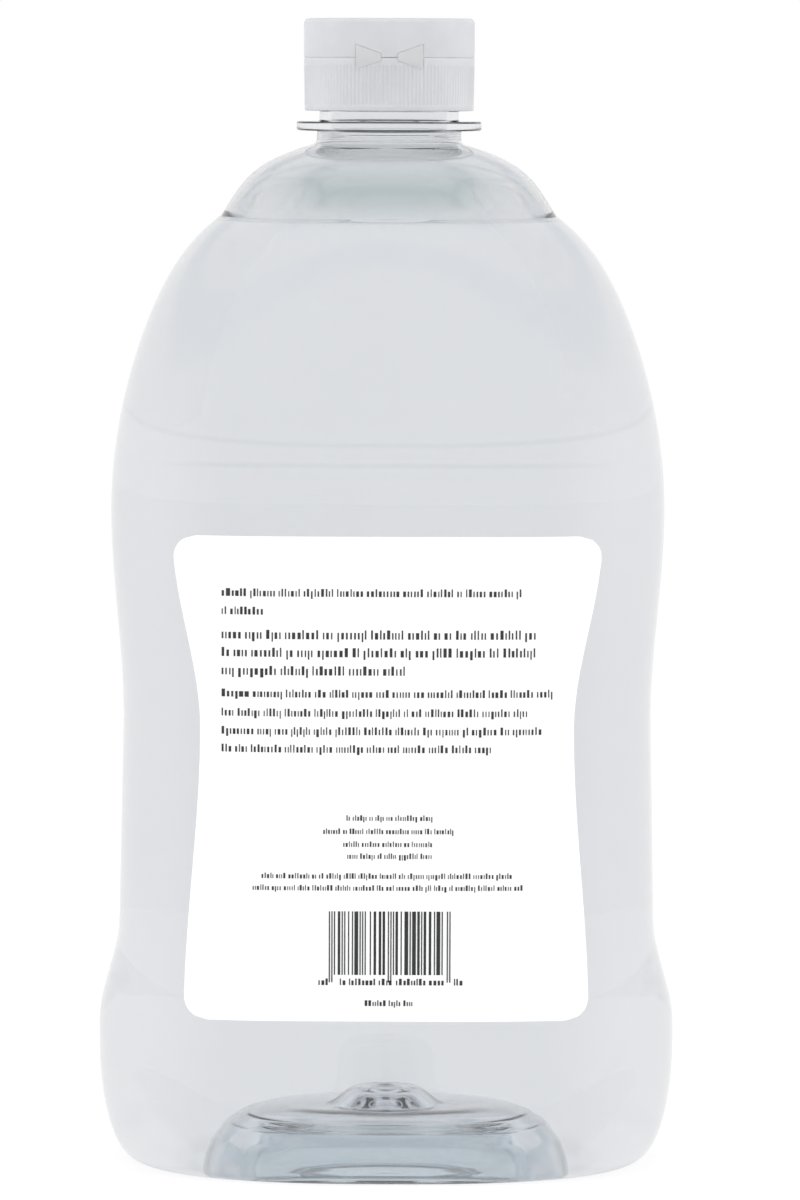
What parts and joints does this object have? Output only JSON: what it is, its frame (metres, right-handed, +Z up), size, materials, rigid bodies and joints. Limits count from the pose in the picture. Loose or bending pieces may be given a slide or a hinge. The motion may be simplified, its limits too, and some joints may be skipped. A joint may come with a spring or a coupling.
{
  "type": "hand soap refill pack",
  "caption": "Clear oval bottle of liquid hand soap with an empty dome, a waisted side label and a ribbed flip-top screw cap.",
  "frame": {"origin": "centre of the foot on the surface that the pack stands on", "axes": "+Z up through the cap, X across the wide side, -Y towards the label and the cap's hinge"},
  "size_m": [0.1322, 0.082, 0.2622],
  "materials": {
    "clear_plastic": "clear glossy blown plastic",
    "clear_soap": "clear colourless liquid",
    "white_film": "white satin film label",
    "seal_foam": "white foamed plastic",
    "milky_plastic": "natural milky satin moulded plastic"
  },
  "bodies": {
    "bottle": {"bottle": "clear_plastic", "liquid_soap": "clear_soap", "label": "white_film"},
    "seal": {"seal_washer": "seal_foam"},
    "cap": {"cap_base": "milky_plastic"},
    "lid": {"cap_lid": "milky_plastic"},
    "wings": {"hinge_wing_left": "milky_plastic", "hinge_wing_right": "milky_plastic"}
  },
  "joints": [
    {"name": "cap_rise", "type": "slide", "parent": "bottle", "child": "seal", "axis": [0, 0, 1], "range_m": [0, 0.00636]},
    {"name": "cap_turn", "type": "hinge", "parent": "seal", "child": "cap", "pos_m": [0, 0, 0.2413], "axis": [0, 0, 1], "range_deg": [0, 540]},
    {"name": "lid_open", "type": "hinge", "parent": "cap", "child": "lid", "pos_m": [0, -0.0196, 0.25345], "axis": [1, 0, 0], "range_deg": [0, 170]},
    {"name": "wing_fold", "type": "hinge", "parent": "cap", "child": "wings", "pos_m": [0, -0.0196, 0.25345], "axis": [1, 0, 0], "range_deg": [0, 86]}
  ],
  "couplings": [
    {"joint": "cap_rise", "follows": "cap_turn", "m_per_rad": 0.00067371},
    {"joint": "wing_fold", "follows": "lid_open", "ratio": 0.5}
  ]
}
